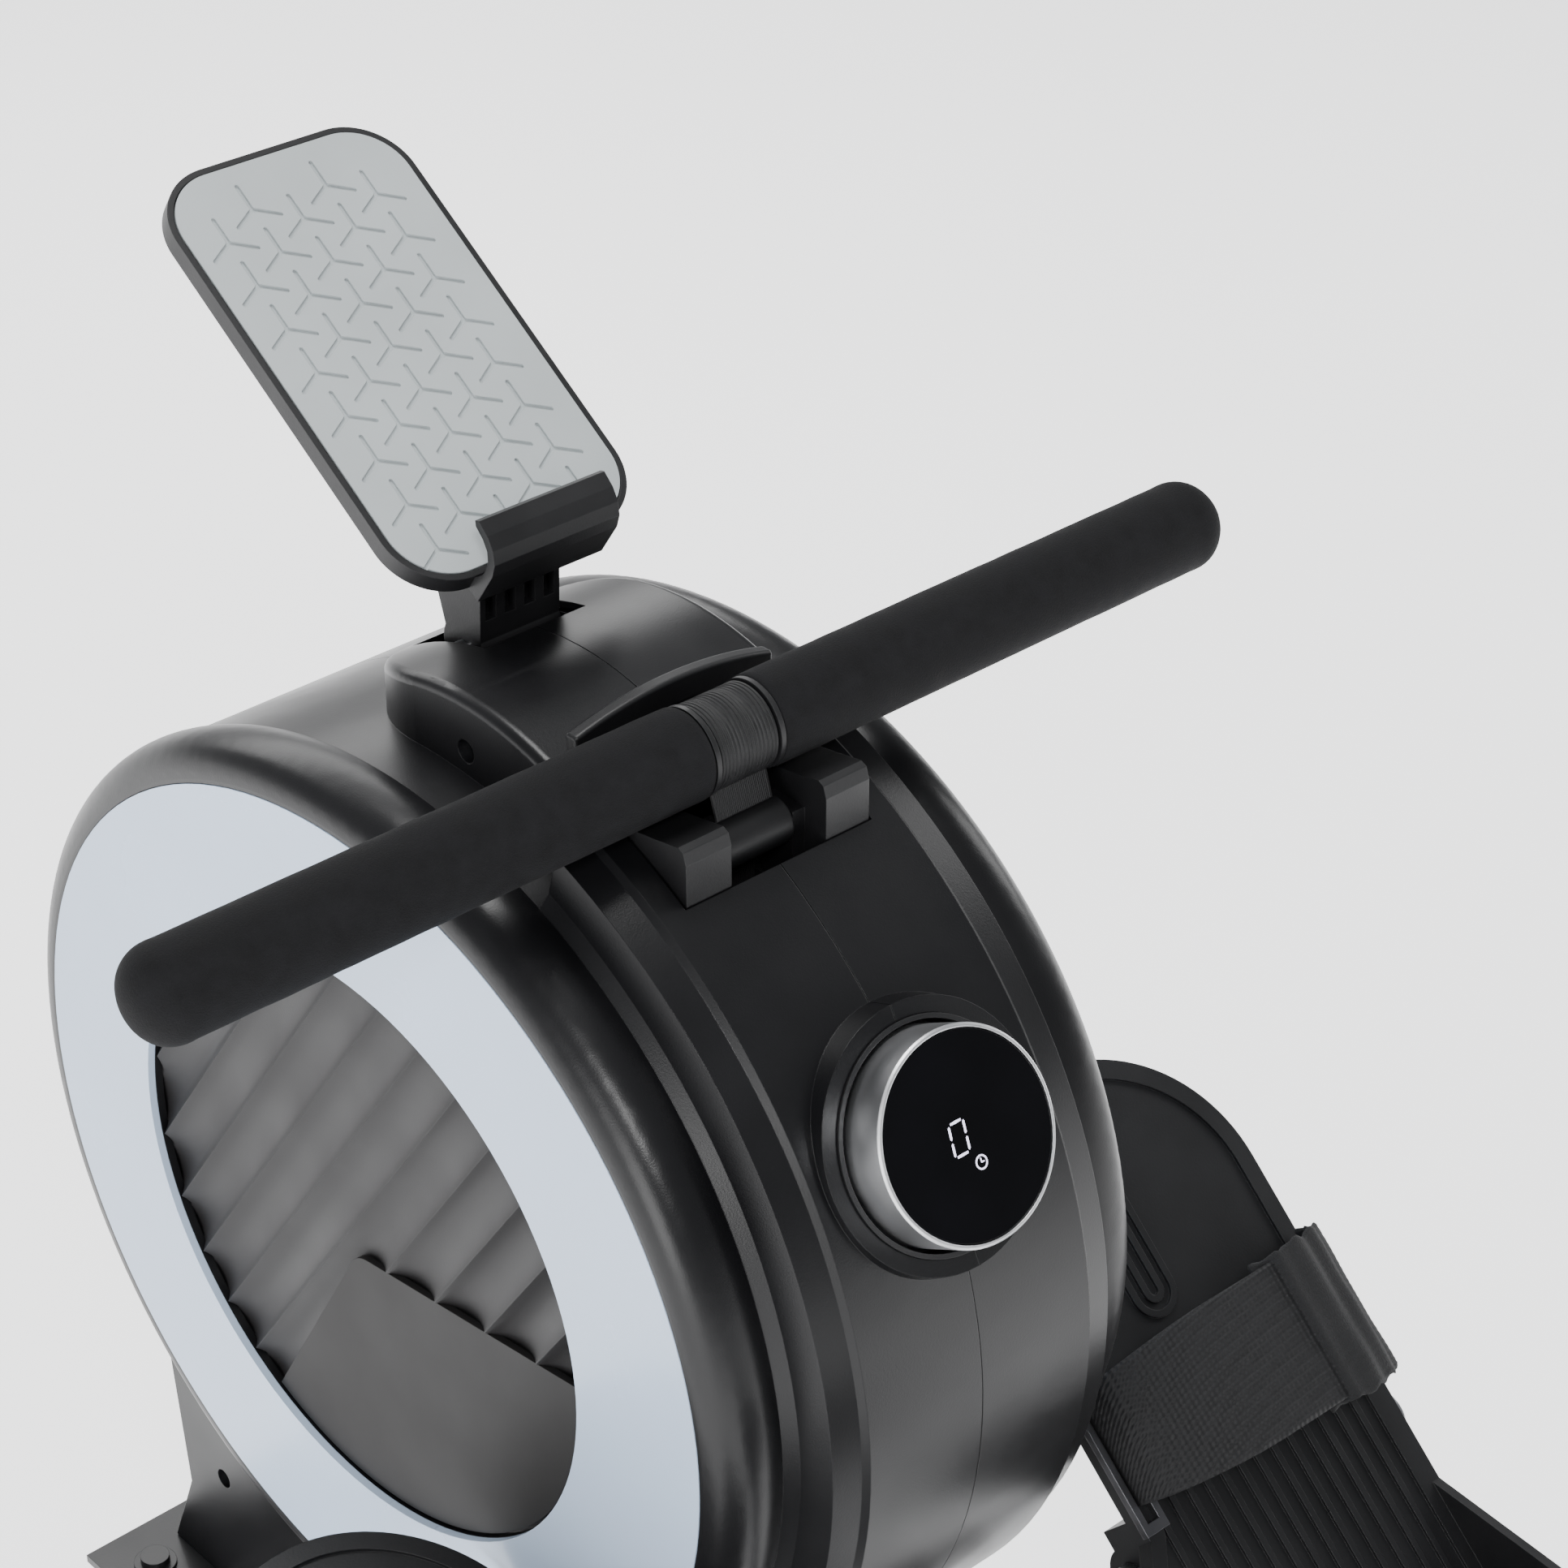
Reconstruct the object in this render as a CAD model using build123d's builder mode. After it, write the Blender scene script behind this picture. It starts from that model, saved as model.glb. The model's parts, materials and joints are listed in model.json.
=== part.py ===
"""Rowing machine with magnetic resistance, modelled at real size in millimetres.

+X is the rower's right, +Y the front (flywheel end) and +Z up.  The origin is on the floor under the
middle of the machine.  Each sub-part is written to its own STEP file in parts/.
"""

import os
from math import atan2, cos, degrees, radians, sin, sqrt

from build123d import *

os.makedirs("parts", exist_ok=True)

# ---------------------------------------------------------------- driving dimensions
handle_y = 541.0
handle_z = 620.0
handle_length = 480.0
grip_radius = 17.25
core_radius = 12.5
strap_gap = 31.0

oval_y = handle_y + 95.5
oval_z = handle_z - 220.0
oval_a = 231.0
oval_b = 214.5
oval_tilt = -12.0
band_half = 52.9
rim_x = 100.0
wall = 3.0
ring_inset = 34.0
ring_a = 131.5
ring_b = 120.0

deck_bottom = 80.0
deck_width = 50.0
beam_height = 70.0
rail_height = 80.0
beam_bottom = 90.0
beam_rear_y = handle_y - 180.0
beam_front_y = handle_y + 279.0
rail_rear_y = -911.0

front_tube_y = handle_y + 297.0
front_tube_z = 56.0
front_tube_r = 30.0
rear_tube_y = -891.0
rear_tube_z = 49.0
rear_tube_r = 25.0
stabiliser_half = 205.0

pivot_y = handle_y - 119.0
pivot_z = handle_z - 367.0
pedal_x = 164.0
pedal_half = 76.0
pedal_inner_x = 104.0
pedal_lift = 22.0
plate_thick = 9.0
right_tilt = 42.7
left_tilt = 11.0
toe_centre = 117.0
toe_reach = 70.5
heel_end = -130.0

spool_y = handle_y + 28.0
spool_z = handle_z - 230.0
spool_core_r = 15.0
spool_wound_r = 29.0
flywheel_y = handle_y + 178.0
flywheel_z = handle_z - 250.0
flywheel_r = 106.0
belt_x = 39.0
plate_in = 26.0
plate_out = 30.0
drive_pulley_r = 54.0
small_pulley_r = 18.0
shaft_r = 6.0
running = 0.05

roller_y = handle_y - 12.0
roller_z = handle_z - 33.0
roller_r = 9.0
webbing_width = 26.0
webbing_thick = 1.4

seat_y = handle_y - 480.0
seat_top = 318.0
wheel_r = 20.0

knob_y = handle_y - 111.0
knob_z = handle_z - 106.4
knob_lean = 28.9
knob_r = 37.9

holder_lean = 34.0
holder_y = handle_y + 172.0
holder_z = handle_z + 85.0
holder_width = 105.0
holder_length = 184.0
hinge_y = handle_y + 118.0
hinge_z = handle_z - 6.0


def save(shape, name):
    """Labels a finished sub-part and writes it to its own file."""
    shape.label = name
    export_step(shape, f"parts/{name}.step")


def oval_face(x, inset):
    """One oval section of the housing on the plane at x."""
    with BuildSketch(Plane.YZ.offset(x)) as section:
        with Locations((oval_y, oval_z)):
            Ellipse(oval_a - inset, oval_b - inset, rotation=oval_tilt)
    return section.sketch


def oval_stack(sections, smooth=False, mode=Mode.ADD):
    """Lofts through oval sections given as (x, inset) pairs."""
    loft([oval_face(x, inset) for x, inset in sections], ruled=not smooth, mode=mode)


def round_face(plane, radius, y=0.0, z=0.0):
    """A disc on a plane, centred at the plane's own (y, z)."""
    with BuildSketch(plane) as disc:
        with Locations((y, z)):
            Circle(radius)
    return disc.sketch


def bar_x(radius, y, z, x0, x1, mode=Mode.ADD):
    """Adds or cuts a round bar along X between x0 and x1."""
    extrude(round_face(Plane.YZ.offset(x0), radius, y, z), amount=x1 - x0, mode=mode)


def box_at(x0, x1, y0, y1, z0, z1, mode=Mode.ADD):
    """Adds or cuts a block given by its limits."""
    with Locations(((x0 + x1) / 2, (y0 + y1) / 2, (z0 + z1) / 2)):
        Box(x1 - x0, y1 - y0, z1 - z0, mode=mode)


def outline(plane, points):
    """A face bounded by straight lines through the points."""
    with BuildSketch(plane) as face:
        with BuildLine():
            Polyline(*points, close=True)
        make_face()
    return face.sketch


def side_profile(points, x0, x1, mode=Mode.ADD):
    """Extrudes a closed outline, drawn in the YZ plane, from x0 to x1."""
    extrude(outline(Plane.YZ.offset(x0), points), amount=x1 - x0, mode=mode)


def rel(y, z):
    """A point in the YZ plane measured from the handle's axis."""
    return (handle_y + y, handle_z + z)


def tilted(origin_y, origin_z, angle, x=0.0):
    """A plane whose X is the machine's X and whose Y rises towards the front by angle degrees."""
    a = radians(angle)
    return Plane(origin=(x, origin_y, origin_z), x_dir=(1, 0, 0), z_dir=(0, -sin(a), cos(a)))


knob_plane = tilted(knob_y, knob_z, 90.0 - knob_lean)


# ---------------------------------------------------------------- housing shells
seam_half = 0.15
neck_half = 62.0
slot_half = 42.5
slot_rear = -30.5
slot_front = 15.0
boss_rear = 21.0
screw_places = [rel(73, -17), rel(262, -468), rel(14, -425)]
post_inner_x = [0.0, 32.0, 32.0]
post_outer_x = [51.5, 60.5, 60.5]
screw_head_x = [45.0, 55.0, 55.0]

# raised band and shoulder step behind the handle, solid and as the hollow inside it
with BuildPart() as rear_band:
    oval_stack([(0.0, 0.0), (band_half, 0.0), (74.0, 21.0)])
    with BuildPart() as shoulder_step:
        oval_stack([(band_half - 4.0, 1.0), (66.5, 4.3), (71.0, 21.5)])
        box_at(0, 120, handle_y - 400, handle_y + 400, 0, oval_z - 150, mode=Mode.SUBTRACT)
    box_at(0, 120, handle_y + 8, handle_y + 400, 0, 800, mode=Mode.SUBTRACT)

with BuildPart() as rear_hollow:
    oval_stack([(-1.0, wall), (band_half - 1.5, wall), (71.5, 24.5)])
    box_at(-2, 120, handle_y + 5, handle_y + 400, 0, 800, mode=Mode.SUBTRACT)


def boss_block(inset):
    """Raised block between handle and tablet holder, with a rounded front."""
    with BuildPart() as block:
        half = band_half - inset
        back = handle_y + boss_rear
        with BuildSketch(Plane.XY.offset(handle_z - 80)):
            with BuildLine():
                Polyline((-half, handle_y + 102), (-half, back), (half, back), (half, handle_y + 102))
                EllipticalCenterArc((0, handle_y + 102), half, 52 - inset, 0, arc_size=180)
            make_face()
        extrude(amount=120)
        with BuildSketch(Plane.YZ.offset(-band_half - 5)):
            with BuildLine():
                ThreePointArc(rel(boss_rear, -6.3 - inset), rel(72, 4.2 - inset), rel(160, -29 - inset))
                Polyline(
                    rel(160, -29 - inset), rel(200, -60), rel(200, -79), rel(boss_rear, -79),
                    rel(boss_rear, -6.3 - inset),
                )
            make_face()
        extrude(amount=2 * band_half + 10, mode=Mode.INTERSECT)
        if inset == 0:
            top = block.faces().filter_by(GeomType.CYLINDER).sort_by(Axis.Z)[-1]
            fillet(top.edges(), radius=4)
    return block.part


boss_solid = boss_block(0)
boss_hollow = boss_block(3)

# thin wall in front of the handle that the grip rests against
with BuildPart() as cradle_fin:
    with BuildSketch(Plane.XZ.offset(-handle_y - 22.5)):
        with BuildLine():
            ThreePointArc((-44.5, handle_z + 7.0), (0, handle_z + 13.4), (44.5, handle_z + 7.0))
            Line((44.5, handle_z + 7.0), (44.5, handle_z - 5.0))
            ThreePointArc((44.5, handle_z - 5.0), (0, handle_z + 2.6), (-44.5, handle_z - 5.0))
            Line((-44.5, handle_z - 5.0), (-44.5, handle_z + 7.0))
        make_face()
    extrude(amount=-6.0)
    fillet(cradle_fin.edges(), radius=1.5)
    box_at(-38, 38, handle_y + 23.5, handle_y + 27.5, handle_z - 17, handle_z + 5)

with BuildPart() as housing_right:
    oval_stack([(0.0, 21.0), (74.0, 21.0)])
    bulge = [(74.0, 21.0), (83.0, 18.5), (91.5, 20.0), (97.5, 25.0), (rim_x, 32.5)]
    oval_stack(bulge, smooth=True)
    add(rear_band.part)
    add(boss_solid)
    side_profile(
        [rel(-6, -360), rel(-12, -470), rel(-20, -556), rel(317, -556), rel(289, -487), rel(303, -350)],
        0,
        neck_half,
    )
    extrude(round_face(knob_plane.offset(-30), 50.5), amount=27, taper=6)
    # hollow inside, kept open at the neck's foot
    oval_stack([(-1.0, 24.5), (71.5, 24.5)], mode=Mode.SUBTRACT)
    add(rear_hollow.part, mode=Mode.SUBTRACT)
    add(boss_hollow, mode=Mode.SUBTRACT)
    cavity = [(71.5, 24.5), (83.0, 22.0), (90.0, 24.0), (93.5, 32.0)]
    oval_stack(cavity, smooth=True, mode=Mode.SUBTRACT)
    side_profile(
        [rel(-2, -340), rel(-8, -470), rel(-16, -560), rel(312, -560), rel(284, -487), rel(297, -340)],
        0,
        neck_half - wall,
        mode=Mode.SUBTRACT,
    )
    # seats for the ring and the ribbed panel
    extrude(oval_face(97.0, ring_inset), amount=10, mode=Mode.SUBTRACT)
    with BuildSketch(Plane.YZ.offset(85)):
        with Locations((oval_y, oval_z)):
            Ellipse(ring_a, ring_b, rotation=oval_tilt)
    extrude(amount=14, mode=Mode.SUBTRACT)
    # walls, then the well for the handle cradle and the pocket for the tablet holder
    side_profile([rel(-33, -66), rel(-33, -40), rel(-20, -33), rel(18, -20), rel(18, -66)], 0, 45.5)
    side_profile([rel(93, -49), rel(93, -3), rel(130, -10), rel(145, -20), rel(145, -49)], 0, 30)
    box_at(0, slot_half, handle_y + slot_rear, handle_y + slot_front, handle_z - 63, handle_z, mode=Mode.SUBTRACT)
    box_at(0, 15, handle_y - 7, handle_y + 6, handle_z - 80, handle_z - 60, mode=Mode.SUBTRACT)
    box_at(0, 23.0, handle_y + 99, handle_y + 142, handle_z - 46, handle_z + 10, mode=Mode.SUBTRACT)
    extrude(round_face(knob_plane.offset(-18), 41.5), amount=60, mode=Mode.SUBTRACT)
    extrude(round_face(knob_plane.offset(-50), 15.0), amount=60, mode=Mode.SUBTRACT)
    # clearance round the beam and the front stabiliser
    box_at(0, 31.5, handle_y - 40, handle_y + 20, 60, 164, mode=Mode.SUBTRACT)
    bar_x(front_tube_r + 1.0, front_tube_y, front_tube_z, 0, 90, mode=Mode.SUBTRACT)
    box_at(0, 70, front_tube_y - 25.5, front_tube_y + 25.5, 60, 90.5, mode=Mode.SUBTRACT)
    add(cradle_fin.part, mode=Mode.SUBTRACT)
    # screw posts and counterbored holes
    for (y, z), x_in, x_out in zip(screw_places, post_inner_x, post_outer_x):
        bar_x(7.5, y, z, x_in, x_out)
    for (y, z), x in zip(screw_places, screw_head_x):
        bar_x(4.5, y, z, x, 110, mode=Mode.SUBTRACT)
        bar_x(1.6, y, z, 0, 110, mode=Mode.SUBTRACT)
    split(bisect_by=Plane.YZ.offset(seam_half), keep=Keep.TOP)
save(housing_right.part, "housing_right")

with BuildPart() as housing_left:
    mirror(housing_right.part, about=Plane.YZ)
save(housing_left.part, "housing_left")

with BuildPart() as shell_screws:
    for side in (1, -1):
        for (y, z), x in zip(screw_places, screw_head_x):
            bar_x(4.0, y, z, side * x, side * (x + 2.5))
save(shell_screws.part, "shell_screws")

# ---------------------------------------------------------------- side trim


def trim_ellipse(x, grow):
    """Ellipse of the ring's opening on one side face."""
    with BuildSketch(Plane.YZ.offset(x)) as opening:
        with Locations((oval_y, oval_z)):
            Ellipse(ring_a + grow, ring_b + grow, rotation=oval_tilt)
    return opening.sketch


with BuildPart() as side_rings:
    for side in (1, -1):
        extrude(oval_face(side * 97.0, ring_inset + 0.3), amount=side * 3.2)
        extrude(trim_ellipse(side * 96.0, 0.0), amount=side * 6, mode=Mode.SUBTRACT)
save(side_rings.part, "side_rings")

ridge_pitch = 21.7
hollow_r = 14.5
hollow_centre = -200.0


def badge_outline(x, gap):
    """Outline of the badge, bounded below by the ring's opening."""
    with BuildSketch(Plane.YZ.offset(x)) as badge:
        with Locations((oval_y, oval_z)):
            Ellipse(ring_a - gap, ring_b - gap, rotation=oval_tilt)
        with BuildLine():
            FilletPolyline(
                rel(196, -394), rel(98, -229), rel(-60, -208), rel(-60, -420), rel(196, -420), radius=14,
                close=False,
            )
            Line(rel(196, -420), rel(196, -394))
        make_face(mode=Mode.INTERSECT)
    return badge.sketch


# dished panels with slanting ridges, behind the rings
with BuildPart() as side_panels:
    for side in (1, -1):
        extrude(trim_ellipse(side * 90.5, 4.0), amount=side * 3)
        extrude(trim_ellipse(side * 93.0, -1.2), amount=side * 4.2)
        for i in range(-8, 8):
            shift = 9.0 + i * ridge_pitch
            y = oval_y - 95.5 + 0.835 * shift - 0.58 * hollow_centre
            z = oval_z + 220 + 0.55 * shift + 0.815 * hollow_centre
            with Locations(Plane((side * (92.0 + hollow_r), y, z), x_dir=(1, 0, 0), z_dir=(0, -0.58, 0.815))):
                Cylinder(hollow_r, 420, mode=Mode.SUBTRACT)
        extrude(badge_outline(side * 93.5, 0.0), amount=side * 6, mode=Mode.SUBTRACT)
save(side_panels.part, "side_panels")

# plain plates that cover the lower rear corner of each panel
with BuildPart() as badge_plates:
    for side in (1, -1):
        extrude(badge_outline(side * 93.5, 1.5), amount=side * 2.8)
save(badge_plates.part, "badge_plates")

# ---------------------------------------------------------------- handle cradle and guide roller
lug_x = 16.0
hook_in = 21.5
hook_out = 41.5
with BuildPart() as handle_cradle:
    box_at(-42, 42, handle_y + slot_rear + 0.5, handle_y + slot_front - 0.5, handle_z - 62, handle_z - 59)
    for side in (1, -1):
        side_profile(
            [rel(-30, -59), rel(-30, -20), rel(-28.5, -15.5), rel(-26, -14.3), rel(-14, -16.6), rel(0, -18.8),
             rel(6, -19.6), rel(12, -30), rel(12, -59)],
            side * hook_in,
            side * hook_out,
        )
        box_at(
            min(side * lug_x, side * (hook_in + 1)), max(side * lug_x, side * (hook_in + 1)),
            roller_y - 7, roller_y + 9, handle_z - 59, roller_z + 5,
        )
    box_at(-10, 10, handle_y - 1, handle_y + 14, handle_z - 63, handle_z - 58, mode=Mode.SUBTRACT)
    box_at(-15, 15, handle_y - 6, handle_y + 4, handle_z - 63, handle_z - 58, mode=Mode.SUBTRACT)
    bar_x(3.0, roller_y, roller_z, -20.0, 20.0, mode=Mode.SUBTRACT)
    add(cradle_fin.part)
save(handle_cradle.part, "handle_cradle")

with BuildPart() as guide_roller:
    bar_x(roller_r, roller_y, roller_z, -15.4, 15.4)
    bar_x(3.0 + running, roller_y, roller_z, -16, 16, mode=Mode.SUBTRACT)
    fillet(guide_roller.edges().filter_by(GeomType.CIRCLE).group_by(SortBy.RADIUS)[-1], radius=1.0)
save(guide_roller.part, "guide_roller")

# ---------------------------------------------------------------- handle
with BuildPart() as handle_bar:
    bar_x(core_radius, handle_y, handle_z, -handle_length / 2 + 6, handle_length / 2 - 6)
save(handle_bar.part, "handle_bar")


with BuildPart() as grips:
    for side in (1, -1):
        bar_x(grip_radius, handle_y, handle_z, side * strap_gap / 2, side * handle_length / 2)
    rims = grips.edges().filter_by(GeomType.CIRCLE).sort_by(Axis.X)
    fillet([rims[0], rims[-1]], radius=11)
    bar_x(core_radius, handle_y, handle_z, -handle_length / 2 + 6, handle_length / 2 - 6, mode=Mode.SUBTRACT)
save(grips.part, "grips")

wrap_radius = 16.2
with BuildPart() as webbing_wrap:
    bar_x(wrap_radius, handle_y, handle_z, -webbing_width / 2, webbing_width / 2)
    side_profile([rel(-9.4, -10), rel(-8.0, -10), rel(-8.0, -21.8), rel(-9.4, -21.8)], -13, 13)
    bar_x(core_radius, handle_y, handle_z, -20, 20, mode=Mode.SUBTRACT)
save(webbing_wrap.part, "webbing_wrap")

with BuildPart() as wrap_collars:
    for side in (1, -1):
        bar_x(grip_radius - 0.6, handle_y, handle_z, side * 13.4, side * 15.4)
    bar_x(core_radius, handle_y, handle_z, -20, 20, mode=Mode.SUBTRACT)
save(wrap_collars.part, "wrap_collars")

# webbing from the wound reel up and over the guide roller
turn_r = roller_r + 0.3
with BuildPart() as webbing_run:
    with BuildSketch(Plane.YZ.offset(-webbing_width / 2)):
        with BuildLine():
            l1 = Line((roller_y + turn_r, spool_z), (roller_y + turn_r, roller_z))
            CenterArc((roller_y, roller_z), turn_r, 0, 90)
            Line((roller_y, roller_z + turn_r), (roller_y, roller_z + turn_r + webbing_thick))
            CenterArc((roller_y, roller_z), turn_r + webbing_thick, 90, -90)
            Line((roller_y + turn_r + webbing_thick, roller_z), (roller_y + turn_r + webbing_thick, spool_z))
            Line((roller_y + turn_r + webbing_thick, spool_z), (roller_y + turn_r, spool_z))
        make_face()
    extrude(amount=webbing_width)
save(webbing_run.part, "webbing_run")

# ---------------------------------------------------------------- knob and display
knob_stand = 15.0
stem_r = 13.0
with BuildPart() as knob_ring:
    extrude(round_face(knob_plane.offset(-12), knob_r), amount=knob_stand + 12)
    chamfer(knob_ring.edges().filter_by(GeomType.CIRCLE), length=0.7)
    extrude(round_face(knob_plane.offset(-8), knob_r - 1.6), amount=40, mode=Mode.SUBTRACT)
    extrude(round_face(knob_plane.offset(-20), stem_r + running), amount=40, mode=Mode.SUBTRACT)
save(knob_ring.part, "knob_ring")

display_r = knob_r - 2.0
with BuildPart() as display_housing:
    extrude(round_face(knob_plane.offset(1), display_r), amount=10.5)
    extrude(round_face(knob_plane.offset(-24), stem_r), amount=25)
    extrude(round_face(knob_plane.offset(3), display_r - 2), amount=20, mode=Mode.SUBTRACT)
save(display_housing.part, "display_housing")

with BuildPart() as circuit_board:
    extrude(round_face(knob_plane.offset(5), display_r - 3), amount=1.6)
    with Locations(knob_plane.offset(7.6)):
        Box(30, 22, 2)
save(circuit_board.part, "circuit_board")

with BuildPart() as display_glass:
    extrude(round_face(knob_plane.offset(11.5), display_r), amount=3.2)
    fillet(display_glass.edges().filter_by(GeomType.CIRCLE).group_by(SortBy.DISTANCE)[-1], radius=0.6)
save(display_glass.part, "display_glass")

with BuildPart() as knob_cup:
    extrude(round_face(knob_plane.offset(-18), 41.4), amount=16)
    extrude(round_face(knob_plane.offset(-16), 39.6), amount=30, mode=Mode.SUBTRACT)
    extrude(round_face(knob_plane.offset(-40), stem_r), amount=60, mode=Mode.SUBTRACT)
save(knob_cup.part, "knob_cup")

# ---------------------------------------------------------------- tablet holder
holder_plane = tilted(holder_y, holder_z, holder_lean)
holder_side = Plane(origin=holder_plane.origin, x_dir=holder_plane.y_dir, z_dir=(1, 0, 0))
frame_thick = 12.0
lip_half = 28.0
hinge_y = handle_y + 118.0
hinge_z = handle_z - 8.0


def tray_face(height, inset, corner):
    """Rounded rectangle on the holder's plane."""
    with BuildSketch(holder_plane.offset(height)) as face:
        RectangleRounded(holder_width - 2 * inset, holder_length - 2 * inset, corner)
    return face.sketch


def tray_profile(points, x0, x1, mode=Mode.ADD):
    """Prism across the machine from a profile in the holder's own side view."""
    extrude(outline(Plane(holder_side.origin + Vector(x0, 0, 0), holder_side.x_dir, (1, 0, 0)), points),
            amount=x1 - x0, mode=mode)


with BuildPart() as holder_frame:
    loft([tray_face(-frame_thick, 5, 20), tray_face(-7.5, 0, 25), tray_face(0, 0, 25)], ruled=True)
    extrude(tray_face(-2, 2.4, 22.6), amount=5, mode=Mode.SUBTRACT)
    # ledge with an upturned edge that the tablet stands on
    tray_profile(
        [(-98, -8), (-98, 8), (-96.5, 13), (-93, 17), (-88, 19.5), (-82, 20.5), (-80.5, 19), (-82, 17.3),
         (-87, 16.3), (-91, 14.2), (-93.4, 11), (-94.2, 6), (-94, 1), (-90, -2), (-90, -8)],
        -lip_half,
        lip_half,
    )
save(holder_frame.part, "holder_frame")

with BuildPart() as holder_neck:
    side_profile([rel(108, -3), rel(107, 20), rel(117, 32.5), rel(148, 53.5), rel(132, 10), rel(128, -3)], -18, 18)
    bar_x(11.5, hinge_y, hinge_z, -18, 18)
    for x in (-13.2, -4.4, 4.4, 13.2):
        box_at(x - 2.4, x + 2.4, hinge_y - 20, hinge_y - 6, handle_z + 6, handle_z + 40, mode=Mode.SUBTRACT)
    add(holder_frame.part, mode=Mode.SUBTRACT)
    bar_x(3.0 + running, hinge_y, hinge_z, -30, 30, mode=Mode.SUBTRACT)
save(holder_neck.part, "holder_neck")

groove_w = 1.6
arm_len = 10.6
with BuildPart() as holder_insert:
    extrude(tray_face(-2, 2.8, 22.2), amount=2.4)
    tray_profile([(-99, -9), (-99, 22), (-93.7, 22), (-93.7, -9)], -lip_half - 0.3, lip_half + 0.3, mode=Mode.SUBTRACT)
    with BuildSketch(holder_plane.offset(-0.5)) as marks:
        for column in range(-2, 3):
            for row in range(-4, 5):
                x = column * 16.3 - 2.4
                y = row * 19.7 + (column % 2) * 9.8 + 1.1
                if abs(y) < 79:
                    for angle in (90, 210, 330):
                        with Locations(Location((x, y), angle)):
                            with Locations((arm_len / 2, 0)):
                                SlotCenterToCenter(arm_len, groove_w)
    extrude(marks.sketch, amount=3, mode=Mode.SUBTRACT)
save(holder_insert.part, "holder_insert")

# ---------------------------------------------------------------- drive inside the housing
pin_y = handle_y + 262.0
pin_z = handle_z - 168.0
strap_in = 46.5
shaft_end = 49.5
with BuildPart() as drive_frame:
    for side in (1, -1):
        side_profile(
            [rel(0, -456), rel(2, -350), rel(-25, -215), rel(25, -165), rel(200, -175), rel(254, -156), rel(272, -160),
             rel(272, -180), rel(222, -262), rel(215, -456)],
            side * plate_in,
            side * plate_out,
        )
    for y, z in (rel(20, -400), rel(200, -400), rel(40, -180)):
        bar_x(6.0, y, z, -plate_in, plate_in)
    for y0, y1 in ((handle_y + 5, handle_y + 35), (handle_y + 180, handle_y + 210)):
        box_at(-plate_in, plate_in, y0, y1, beam_bottom + beam_height, beam_bottom + beam_height + 14)
    # outrigger that carries the outer ends of both shafts
    side_profile(
        [rel(8, -245), rel(8, -215), rel(28, -205), rel(100, -172), rel(122, -172), rel(200, -235),
         rel(200, -265), rel(122, -312), rel(100, -312), rel(28, -255)],
        strap_in,
        shaft_end,
    )
    for y, z in (rel(111, -181), rel(111, -304)):
        bar_x(6.0, y, z, plate_out, strap_in)
    for y, z in ((spool_y, spool_z), (flywheel_y, flywheel_z)):
        bar_x(13.0, y, z, plate_in - 2, plate_out + 2, mode=Mode.SUBTRACT)
        bar_x(shaft_r, y, z, -60, 60, mode=Mode.SUBTRACT)
    bar_x(13.0, spool_y, spool_z, -plate_out - 2, -plate_in + 2, mode=Mode.SUBTRACT)
    bar_x(4.0, pin_y, pin_z, -40, 40, mode=Mode.SUBTRACT)
save(drive_frame.part, "drive_frame")

with BuildPart() as inner_shafts:
    bar_x(3.0, roller_y, roller_z, -20, 20)
    bar_x(3.0, hinge_y, hinge_z, -22.9, 22.9)
    bar_x(shaft_r, spool_y, spool_z, -57, shaft_end)
    bar_x(shaft_r, flywheel_y, flywheel_z, -plate_out, shaft_end)
    bar_x(4.0, pin_y, pin_z, -plate_out, plate_out)
save(inner_shafts.part, "inner_shafts")

with BuildPart() as spool:
    bar_x(spool_core_r, spool_y, spool_z, -17, 17)
    for side in (1, -1):
        bar_x(36.0, spool_y, spool_z, side * 14, side * 17)
        bar_x(10.0, spool_y, spool_z, side * 17, side * 45)
    bar_x(shaft_r + running, spool_y, spool_z, -60, 60, mode=Mode.SUBTRACT)
save(spool.part, "spool")

with BuildPart() as webbing_coil:
    bar_x(spool_wound_r, spool_y, spool_z, -13, 13)
    bar_x(spool_core_r, spool_y, spool_z, -20, 20, mode=Mode.SUBTRACT)
save(webbing_coil.part, "webbing_coil")

with BuildPart() as drive_pulley:
    bar_x(drive_pulley_r, spool_y, spool_z, 33, 45)
    for x0, x1 in ((33, 36), (42, 45)):
        bar_x(46.0, spool_y, spool_z, x0, x1, mode=Mode.SUBTRACT)
        bar_x(16.0, spool_y, spool_z, x0, x1)
    for i in range(6):
        y = spool_y + 31 * cos(radians(60 * i))
        z = spool_z + 31 * sin(radians(60 * i))
        bar_x(9.5, y, z, 30, 50, mode=Mode.SUBTRACT)
    bar_x(10.0 + running, spool_y, spool_z, 30, 50, mode=Mode.SUBTRACT)
save(drive_pulley.part, "drive_pulley")

with BuildPart() as flywheel:
    bar_x(flywheel_r, flywheel_y, flywheel_z, -14, 14)
    for side in (1, -1):
        bar_x(87.0, flywheel_y, flywheel_z, side * 4, side * 15, mode=Mode.SUBTRACT)
        bar_x(30.0, flywheel_y, flywheel_z, side * 4, side * 14)
    bar_x(10.0, flywheel_y, flywheel_z, 14, 31)
    bar_x(small_pulley_r, flywheel_y, flywheel_z, 31, 45)
    bar_x(11.0, flywheel_y, flywheel_z, -14, 11, mode=Mode.SUBTRACT)
    bar_x(shaft_r + running, flywheel_y, flywheel_z, -20, 60, mode=Mode.SUBTRACT)
save(flywheel.part, "flywheel")

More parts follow.
